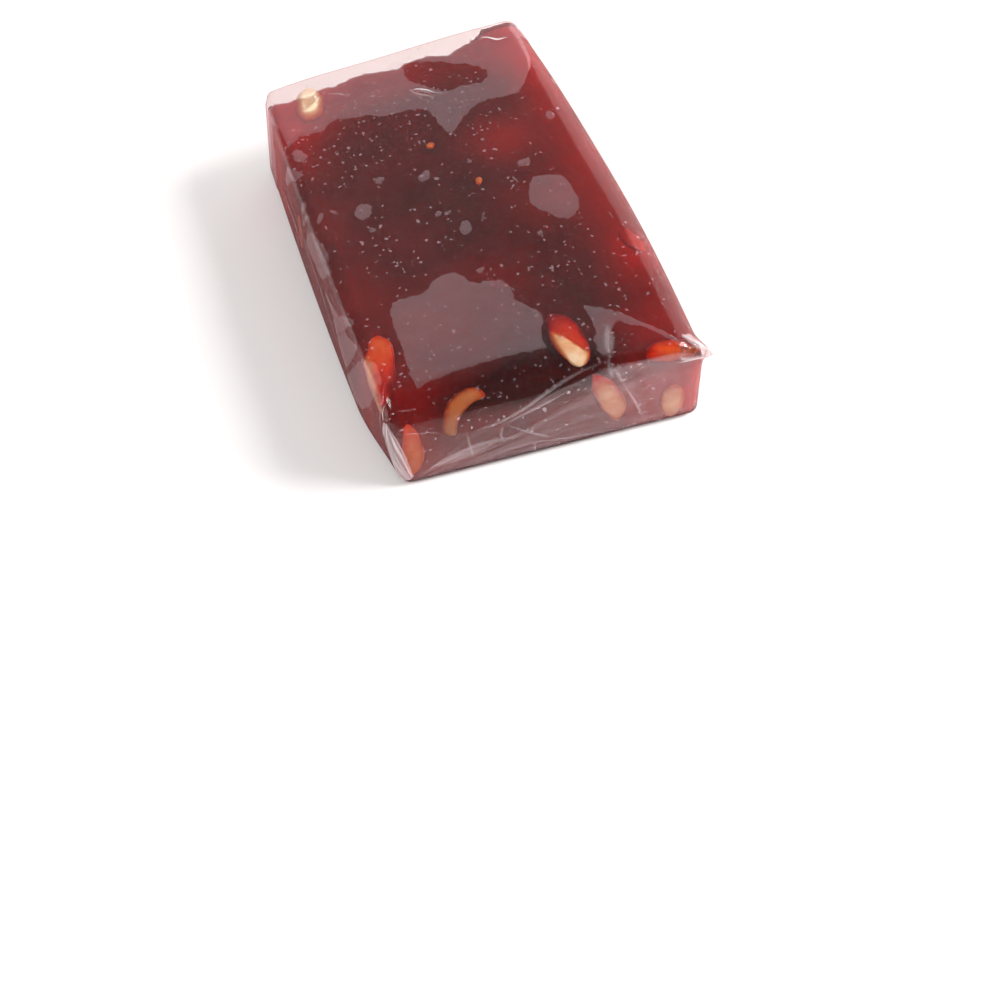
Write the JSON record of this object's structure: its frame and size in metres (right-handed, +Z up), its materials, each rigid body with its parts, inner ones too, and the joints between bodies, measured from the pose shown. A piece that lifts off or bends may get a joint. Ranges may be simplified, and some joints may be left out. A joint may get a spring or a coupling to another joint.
{
  "type": "wrapped halwa block",
  "caption": "Oblong block of dark red translucent halwa with cashew pieces, folded in clear film with a pinched corner.",
  "frame": {"origin": "middle of the block's footprint, on the surface it rests on", "axes": "+Z up, +Y along the block's length towards its back end; the folded front end faces -Y"},
  "size_m": [0.0788, 0.1228, 0.0265],
  "materials": {
    "clear_film": "thin clear film",
    "halwa_jelly": "wet, glossy",
    "cashew": "smooth, matt"
  },
  "bodies": {
    "root": {"film_wrapper": "clear_film", "halwa_block": "halwa_jelly", "cashew_top_front": "cashew", "cashew_left_side": "cashew", "cashew_front_left": "cashew", "cashew_front_hook": "cashew", "cashew_front_right": "cashew", "cashew_front_corner": "cashew", "cashew_under_ear": "cashew", "cashew_back_left": "cashew", "cashew_right_side": "cashew", "cashew_right_back": "cashew", "cashew_left_back": "cashew", "cashew_back_end": "cashew", "cashew_base": "cashew"}
  },
  "joints": []
}
